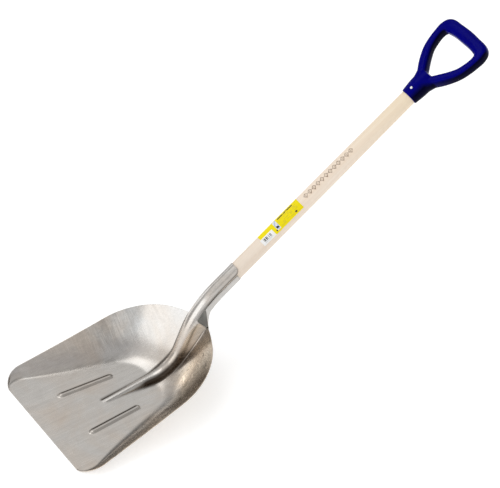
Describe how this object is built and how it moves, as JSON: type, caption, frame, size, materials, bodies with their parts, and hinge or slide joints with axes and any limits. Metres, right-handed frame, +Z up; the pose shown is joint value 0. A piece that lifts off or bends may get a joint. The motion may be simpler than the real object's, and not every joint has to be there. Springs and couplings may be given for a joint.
{
  "type": "grain scoop shovel",
  "caption": "Wide pressed-steel grain scoop with raised stiffening ribs and a central frog, on a straight wooden shaft with a moulded D-grip.",
  "frame": {"origin": "on the flat underside of the scoop floor, on the middle line, 100 mm behind the front edge", "axes": "+Z up out of the scoop, +Y from the front edge towards the handle, +X to the right seen from behind with the handle nearest"},
  "size_m": [0.3732, 1.1584, 0.6364],
  "materials": {
    "blade_steel": "bright, finely brushed along the blade",
    "strap_steel": "satin",
    "shaft_wood": "pale sanded ash with a clear matt coat",
    "screw_steel": "bright plated",
    "grip_plastic": "glossy dark blue moulding",
    "rivet_metal": "bright domed head",
    "label_paper": null,
    "sticker_paper": null
  },
  "bodies": {
    "root": {"scoop_blade": "blade_steel", "socket_strap": "strap_steel", "handle_shaft": "shaft_wood", "strap_screws": "screw_steel", "d_grip": "grip_plastic", "grip_rivet": "rivet_metal", "shaft_label": "label_paper", "barcode_sticker": "sticker_paper"}
  },
  "joints": []
}
